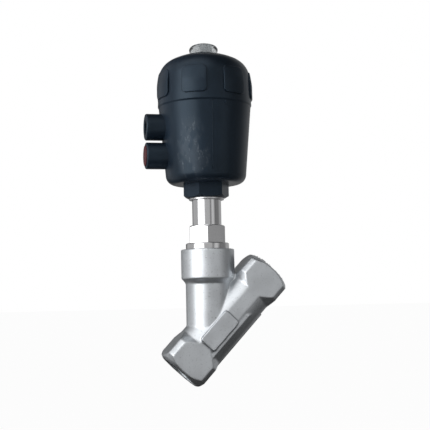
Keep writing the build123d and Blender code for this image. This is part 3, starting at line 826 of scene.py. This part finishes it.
class VALVE_OT_springs(bpy.types.Operator):
    """Closing springs with round wire"""

    bl_idname = "valve.springs"
    bl_label = "Closing springs"

    def execute(self, context):
        joints = frame["record"]["behaviour"]["joints"]
        slide = next(joint for joint in joints if joint["name"] == "stem_slide")
        for entry in slide["deforming_nodes"]:
            node, fixed = entry["node"], entry["fixed_end_z_m"]
            spring = new_piece(node + "_wire", rounded_copy(node), "spring_steel", "actuator")
            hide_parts(node)
            keep = 1 - slide["range_m"][1] / (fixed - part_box(node)[0].z)
            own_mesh(spring)
        return {"FINISHED"}


class VALVE_OT_works(bpy.types.Operator):
    """Pieces inside the valve: spindle, piston, plug, packing and seals"""

    bl_idname = "valve.works"
    bl_label = "Inner works"

    def execute(self, context):
        made_elsewhere = {"valve_body", "bonnet", "base_washer", "actuator_housing", "actuator_cap",
                          "sight_dome", "indicator", "port_plug", "outer_spring", "inner_spring"}
        round_already = {"rubber", "spring_steel"}
        edge = context.scene.valve_looks.trim.fine_edge
        for node in sorted(set(frame["nodes"]) - made_elsewhere):
            keep_node(node, None if SLOT_OF[node] in round_already else edge)
        return {"FINISHED"}


# ---------------------------------------------------------------- stage
def stage_piece(name, form, material):
    """Object of the stage from a finished form."""
    mesh = mesh_from(form, name)
    mesh.materials.append(material)
    piece = bpy.data.objects.new(name, mesh)
    bpy.context.scene.collection.objects.link(piece)
    piece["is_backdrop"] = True
    return piece


def stage_material(name):
    """New material of the stage and its empty node tree."""
    material = bpy.data.materials.new(name)
    material.use_nodes = True
    return material, Nodes(material.node_tree)


def facing(azimuth, elevation, distance, target):
    """Place at a distance from the target, its -Z towards the target."""
    back = Vector((sin(azimuth) * cos(elevation), -cos(azimuth) * cos(elevation), sin(elevation)))
    turn = (-back).to_track_quat("-Z", "Y").to_matrix().to_4x4()
    return Matrix.Translation(target + back * distance) @ turn


class VALVE_OT_stage(bpy.types.Operator):
    """Camera, pale floor, soft lamps and the tent that shows in metal and gloss"""

    bl_idname = "valve.stage"
    bl_label = "Stage"

    def execute(self, context):
        studio = context.scene.valve_looks.studio
        target = Vector((STEM.x, 0, studio.aim_height))
        self.add_world(context.scene, studio)
        self.add_floor(studio)
        self.add_lamp("key_lamp", studio.key_level, target,
                      azimuth=-82, elevation=10, distance=1.05, size=(0.8, 1.15))
        self.add_lamp("top_lamp", studio.fill_level, target,
                      azimuth=-20, elevation=70, distance=1.3, size=(0.9, 0.9))
        self.add_lamp("right_lamp", studio.fill_level, target,
                      azimuth=75, elevation=10, distance=1.4, size=(0.9, 1.0))
        self.add_surround(studio, target)
        self.add_camera(context.scene, studio)
        context.scene.view_settings.view_transform = "Standard"
        return {"FINISHED"}

    def add_world(self, scene, studio):
        """White to the camera and in gloss, and weak even light on the valve."""
        world = bpy.data.worlds.new("studio")
        world.use_nodes = True
        nodes = Nodes(world.node_tree)
        level = nodes.seen_directly() * (1 - studio.sky_level) + studio.sky_level
        sky = nodes.node("ShaderNodeBackground", {}, {"Color": (1, 1, 1, 1), "Strength": level})
        nodes.node("ShaderNodeOutputWorld", {}, {"Surface": sky.outputs[0]})
        scene.world = world

    def add_floor(self, studio):
        """Wide pale floor, nearly white where it is seen, which keeps a trace of the shadow."""
        reach = 30.0
        material, nodes = stage_material("floor")
        cloth = nodes.node("ShaderNodeBsdfPrincipled", {}, {
            "Base Color": (0.93, 0.93, 0.93, 1), "Roughness": 0.9})
        glow = nodes.node("ShaderNodeEmission")
        mix = nodes.node("ShaderNodeMixShader", {}, {
            0: nodes.seen_directly() * 0.97, 1: cloth.outputs[0], 2: glow.outputs[0]})
        nodes.node("ShaderNodeOutputMaterial", {}, {"Surface": mix.outputs[0]})
        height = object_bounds()[0].z - studio.floor_drop
        form = bmesh.new()
        bmesh.ops.create_grid(form, x_segments=1, y_segments=1, size=reach,
                              matrix=Matrix.Translation((0, 0, height)))
        stage_piece("floor", form, material)

    def add_lamp(self, name, level, target, azimuth, elevation, distance, size):
        """Rectangular soft lamp; the surround carries what is seen in the gloss."""
        data = bpy.data.lights.new(name, "AREA")
        data.shape, data.size, data.size_y = "RECTANGLE", size[0], size[1]
        data.energy = level * pi * size[0] * size[1]
        lamp = bpy.data.objects.new(name, data)
        lamp.matrix_world = facing(radians(azimuth), radians(elevation), distance, target)
        lamp.visible_glossy = False
        bpy.context.scene.collection.objects.link(lamp)

    def add_surround(self, studio, target):
        """Grey tent with a bright window, only seen in metal and gloss."""
        radius, above_floor = 2.4, 4 * MM
        material, nodes = stage_material("surround")
        point = nodes.wire("ShaderNodeTexCoord", output="Object")
        ray = nodes.wire("ShaderNodeVectorMath", {"operation": "NORMALIZE"}, {0: point})

        def glow(azimuth, elevation, inner, outer):
            """1 within inner degrees of a direction, 0 beyond outer degrees."""
            side = facing(radians(azimuth), radians(elevation), 1.0, Vector()).translation
            towards = nodes.wire("ShaderNodeVectorMath", {"operation": "DOT_PRODUCT"},
                                 {0: ray, 1: side}, output="Value")
            return towards.step(cos(radians(outer)), cos(radians(inner)))

        window = glow(-58, 4, 13, 33) * 3.0
        left_wall = glow(-108, 4, 28, 60) * 0.5
        skylight = glow(-45, 48, 18, 46) * 1.3
        front_wall = glow(8, 6, 28, 56) * 0.52
        right_wall = glow(72, 4, 24, 56) * 0.18
        back_wall = glow(142, 8, 16, 52) * 0.4
        front_post = glow(19, 5, 3, 8) * 0.3
        right_post = glow(53, 5, 4, 12) * 0.13
        level = (0.05 + window + left_wall + skylight + front_wall + right_wall + back_wall
                 - front_post - right_post)
        light = nodes.node("ShaderNodeEmission", {}, {"Strength": level * studio.tent_level})
        nodes.node("ShaderNodeOutputMaterial", {}, {"Surface": light.outputs[0]})
        form = bmesh.new()
        bmesh.ops.create_uvsphere(form, u_segments=96, v_segments=48, radius=radius)
        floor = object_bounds()[0].z - studio.floor_drop + above_floor - target.z
        for vertex in form.verts:
            vertex.co.z = max(vertex.co.z, floor)
        tent = stage_piece("surround", form, material)
        tent.location = target
        tent.visible_camera = tent.visible_diffuse = False
        tent.visible_shadow = tent.visible_transmission = False

    def add_camera(self, scene, studio):
        """Camera at the viewing angle of the settings."""
        data = bpy.data.cameras.new("camera")
        data.lens, data.sensor_width = studio.lens, 36.0
        camera = bpy.data.objects.new("camera", data)
        aim = Vector((STEM.x + studio.aim_shift, 0, studio.aim_height))
        place = facing(studio.camera_turn, studio.camera_rise, studio.camera_distance, aim)
        camera.matrix_world = place @ Matrix.Rotation(studio.camera_roll, 4, "Z")
        scene.collection.objects.link(camera)
        scene.camera = camera


# ---------------------------------------------------------------- add-on
PIECE_OPERATORS = (
    VALVE_OT_casting, VALVE_OT_pipe_threads, VALVE_OT_bonnet, VALVE_OT_housing, VALVE_OT_cap,
    VALVE_OT_sight, VALVE_OT_dust_plug, VALVE_OT_springs, VALVE_OT_works, VALVE_OT_stage)


class VALVE_PT_panel(bpy.types.Panel):
    """Buttons for the pieces and the settings of their looks"""

    bl_idname = "VALVE_PT_panel"
    bl_label = "Angle seat valve"
    bl_space_type = "VIEW_3D"
    bl_region_type = "UI"
    bl_category = "Valve"

    def draw(self, context):
        looks = context.scene.valve_looks
        for operator in PIECE_OPERATORS:
            self.layout.operator(operator.bl_idname)
        for group in (looks.casting, looks.actuator, looks.trim, looks.colours, looks.studio):
            box = self.layout.box()
            for key in group.__annotations__:
                box.prop(group, key)


CLASSES = (ValveCastingSizes, ValveActuatorSizes, ValveTrimSizes, ValveColours, ValveStudioSizes,
           ValveLooks, *PIECE_OPERATORS, VALVE_PT_panel)


def register():
    for item in CLASSES:
        bpy.utils.register_class(item)
    bpy.types.Scene.valve_looks = bpy.props.PointerProperty(type=ValveLooks)


def unregister():
    del bpy.types.Scene.valve_looks
    for item in reversed(CLASSES):
        bpy.utils.unregister_class(item)


def main():
    """Makes all the pieces and the stage in order."""
    register()
    for operator in PIECE_OPERATORS:
        group, name = operator.bl_idname.split(".")
        getattr(getattr(bpy.ops, group), name)()


if __name__ == "__main__":
    main()
